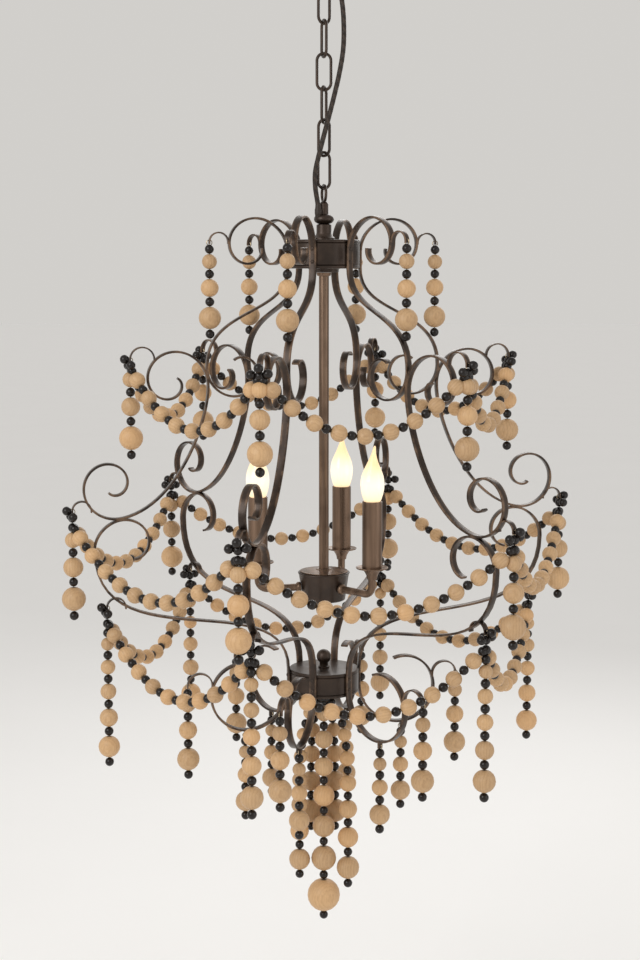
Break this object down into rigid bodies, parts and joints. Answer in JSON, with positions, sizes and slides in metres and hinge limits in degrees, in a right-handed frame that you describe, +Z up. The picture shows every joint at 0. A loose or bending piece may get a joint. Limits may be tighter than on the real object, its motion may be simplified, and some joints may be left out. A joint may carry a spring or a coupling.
{
  "type": "chandelier",
  "caption": "Scroll-armed metal chandelier with candle lamps, hung with wooden bead garlands, drops and a tassel, on a chain from a ceiling canopy.",
  "frame": {"origin": "centre of the bracket's top face, where the lamp meets the ceiling, on the lamp's axis", "axes": "+Z up, the chain and the centre tube hang down -Z, -Y is the side seen in the picture"},
  "size_m": [0.6942, 0.685, 1.372],
  "materials": {
    "bronze": "dark brown bronze paint, satin, worn lighter on edges",
    "plated_steel": "plain zinc plated",
    "cable": "dark brown, slightly glossy",
    "sleeve": "satin brown",
    "holder": "white moulded",
    "bulb_glass": "clear glass, lit warm white",
    "wood_beads": "natural tan wood, matte, with glossy black beads between"
  },
  "bodies": {
    "ceiling_plate": {"ceiling_bracket": "plated_steel", "ceiling_canopy": "bronze", "canopy_loop": "bronze"},
    "hung_lamp": {"chain_link_1": "bronze", "chain_link_2": "bronze", "chain_link_3": "bronze", "chain_link_4": "bronze", "chain_link_5": "bronze", "chain_link_6": "bronze", "supply_cable": "cable", "neck_loop": "bronze", "upper_hub": "bronze", "centre_tube": "bronze", "cup_cover": "bronze", "lamp_cup": "bronze", "lamp_arm_1": "bronze", "drip_pan_1": "bronze", "lampholder_1": "holder", "candle_sleeve_1": "sleeve", "lamp_arm_2": "bronze", "drip_pan_2": "bronze", "lampholder_2": "holder", "candle_sleeve_2": "sleeve", "lamp_arm_3": "bronze", "drip_pan_3": "bronze", "lampholder_3": "holder", "candle_sleeve_3": "sleeve", "lower_hub": "bronze", "ball_nut": "bronze", "scroll_arm_1": "bronze", "scroll_arm_2": "bronze", "scroll_arm_3": "bronze", "scroll_arm_4": "bronze", "scroll_arm_5": "bronze", "scroll_arm_6": "bronze", "upper_garland": "wood_beads", "middle_garland": "wood_beads", "lower_garland": "wood_beads"},
    "bulb_1": {"bulb_1": "bulb_glass"},
    "bulb_2": {"bulb_2": "bulb_glass"},
    "bulb_3": {"bulb_3": "bulb_glass"},
    "crown_drop_1": {"crown_drop_1": "wood_beads"},
    "crown_drop_2": {"crown_drop_2": "wood_beads"},
    "crown_drop_3": {"crown_drop_3": "wood_beads"},
    "crown_drop_4": {"crown_drop_4": "wood_beads"},
    "crown_drop_5": {"crown_drop_5": "wood_beads"},
    "crown_drop_6": {"crown_drop_6": "wood_beads"},
    "basket_drop_1": {"basket_drop_1": "wood_beads"},
    "basket_drop_2": {"basket_drop_2": "wood_beads"},
    "basket_drop_3": {"basket_drop_3": "wood_beads"},
    "basket_drop_4": {"basket_drop_4": "wood_beads"},
    "basket_drop_5": {"basket_drop_5": "wood_beads"},
    "basket_drop_6": {"basket_drop_6": "wood_beads"},
    "inner_drop_1": {"inner_drop_1": "wood_beads"},
    "inner_drop_2": {"inner_drop_2": "wood_beads"},
    "inner_drop_3": {"inner_drop_3": "wood_beads"},
    "inner_drop_4": {"inner_drop_4": "wood_beads"},
    "inner_drop_5": {"inner_drop_5": "wood_beads"},
    "inner_drop_6": {"inner_drop_6": "wood_beads"},
    "tassel": {"tassel": "wood_beads"}
  },
  "joints": [
    {"name": "lamp_swing", "type": "hinge", "parent": "ceiling_plate", "child": "hung_lamp", "pos_m": [0, 0, -0.1013], "axis": [0, 1, 0], "range_deg": [-12, 12], "deforming": ["supply_cable"]},
    {"name": "bulb_1_screw", "type": "hinge", "parent": "hung_lamp", "child": "bulb_1", "pos_m": [0.06391, -0.06618, -0.795], "axis": [0, 0, 1], "range_deg": [0, 1080]},
    {"name": "bulb_2_screw", "type": "hinge", "parent": "hung_lamp", "child": "bulb_2", "pos_m": [0.02536, 0.08844, -0.795], "axis": [0, 0, 1], "range_deg": [0, 1080]},
    {"name": "bulb_3_screw", "type": "hinge", "parent": "hung_lamp", "child": "bulb_3", "pos_m": [-0.08927, -0.02226, -0.795], "axis": [0, 0, 1], "range_deg": [0, 1080]},
    {"name": "crown_drop_1_swing", "type": "hinge", "parent": "hung_lamp", "child": "crown_drop_1", "pos_m": [0.15097, 0.03402, -0.42985], "axis": [0.2198, -0.9755, 0], "range_deg": [0, 40]},
    {"name": "crown_drop_2_swing", "type": "hinge", "parent": "hung_lamp", "child": "crown_drop_2", "pos_m": [0.04602, 0.14776, -0.42985], "axis": [0.9548, -0.2974, 0], "range_deg": [0, 40]},
    {"name": "crown_drop_3_swing", "type": "hinge", "parent": "hung_lamp", "child": "crown_drop_3", "pos_m": [-0.10495, 0.11374, -0.42985], "axis": [0.7349, 0.6782, 0], "range_deg": [0, 40]},
    {"name": "crown_drop_4_swing", "type": "hinge", "parent": "hung_lamp", "child": "crown_drop_4", "pos_m": [-0.15097, -0.03402, -0.42985], "axis": [-0.2198, 0.9755, 0], "range_deg": [0, 40]},
    {"name": "crown_drop_5_swing", "type": "hinge", "parent": "hung_lamp", "child": "crown_drop_5", "pos_m": [-0.04602, -0.14776, -0.42985], "axis": [-0.9548, 0.2974, 0], "range_deg": [0, 40]},
    {"name": "crown_drop_6_swing", "type": "hinge", "parent": "hung_lamp", "child": "crown_drop_6", "pos_m": [0.10495, -0.11374, -0.42985], "axis": [-0.7349, -0.6782, 0], "range_deg": [0, 40]},
    {"name": "basket_drop_1_swing", "type": "hinge", "parent": "hung_lamp", "child": "basket_drop_1", "pos_m": [0.18498, 0.04169, -1.02761], "axis": [0.2198, -0.9755, 0], "range_deg": [0, 35]},
    {"name": "basket_drop_2_swing", "type": "hinge", "parent": "hung_lamp", "child": "basket_drop_2", "pos_m": [0.05639, 0.18104, -1.02761], "axis": [0.9548, -0.2974, 0], "range_deg": [0, 35]},
    {"name": "basket_drop_3_swing", "type": "hinge", "parent": "hung_lamp", "child": "basket_drop_3", "pos_m": [-0.12859, 0.13936, -1.02761], "axis": [0.7349, 0.6782, 0], "range_deg": [0, 35]},
    {"name": "basket_drop_4_swing", "type": "hinge", "parent": "hung_lamp", "child": "basket_drop_4", "pos_m": [-0.18498, -0.04169, -1.02761], "axis": [-0.2198, 0.9755, 0], "range_deg": [0, 35]},
    {"name": "basket_drop_5_swing", "type": "hinge", "parent": "hung_lamp", "child": "basket_drop_5", "pos_m": [-0.05639, -0.18104, -1.02761], "axis": [-0.9548, 0.2974, 0], "range_deg": [0, 35]},
    {"name": "basket_drop_6_swing", "type": "hinge", "parent": "hung_lamp", "child": "basket_drop_6", "pos_m": [0.12859, -0.13936, -1.02761], "axis": [-0.7349, -0.6782, 0], "range_deg": [0, 35]},
    {"name": "inner_drop_1_swing", "type": "hinge", "parent": "hung_lamp", "child": "inner_drop_1", "pos_m": [0.10797, 0.02433, -1.09903], "axis": [0.2198, -0.9755, 0], "range_deg": [0, 25]},
    {"name": "inner_drop_2_swing", "type": "hinge", "parent": "hung_lamp", "child": "inner_drop_2", "pos_m": [0.03291, 0.10567, -1.09903], "axis": [0.9548, -0.2974, 0], "range_deg": [0, 25]},
    {"name": "inner_drop_3_swing", "type": "hinge", "parent": "hung_lamp", "child": "inner_drop_3", "pos_m": [-0.07506, 0.08134, -1.09903], "axis": [0.7349, 0.6782, 0], "range_deg": [0, 25]},
    {"name": "inner_drop_4_swing", "type": "hinge", "parent": "hung_lamp", "child": "inner_drop_4", "pos_m": [-0.10797, -0.02433, -1.09903], "axis": [-0.2198, 0.9755, 0], "range_deg": [0, 25]},
    {"name": "inner_drop_5_swing", "type": "hinge", "parent": "hung_lamp", "child": "inner_drop_5", "pos_m": [-0.03291, -0.10567, -1.09903], "axis": [-0.9548, 0.2974, 0], "range_deg": [0, 25]},
    {"name": "inner_drop_6_swing", "type": "hinge", "parent": "hung_lamp", "child": "inner_drop_6", "pos_m": [0.07506, -0.08134, -1.09903], "axis": [-0.7349, -0.6782, 0], "range_deg": [0, 25]},
    {"name": "tassel_swing", "type": "hinge", "parent": "hung_lamp", "child": "tassel", "pos_m": [0, 0, -1.052], "axis": [1, 0, 0], "range_deg": [-8, 8]}
  ]
}
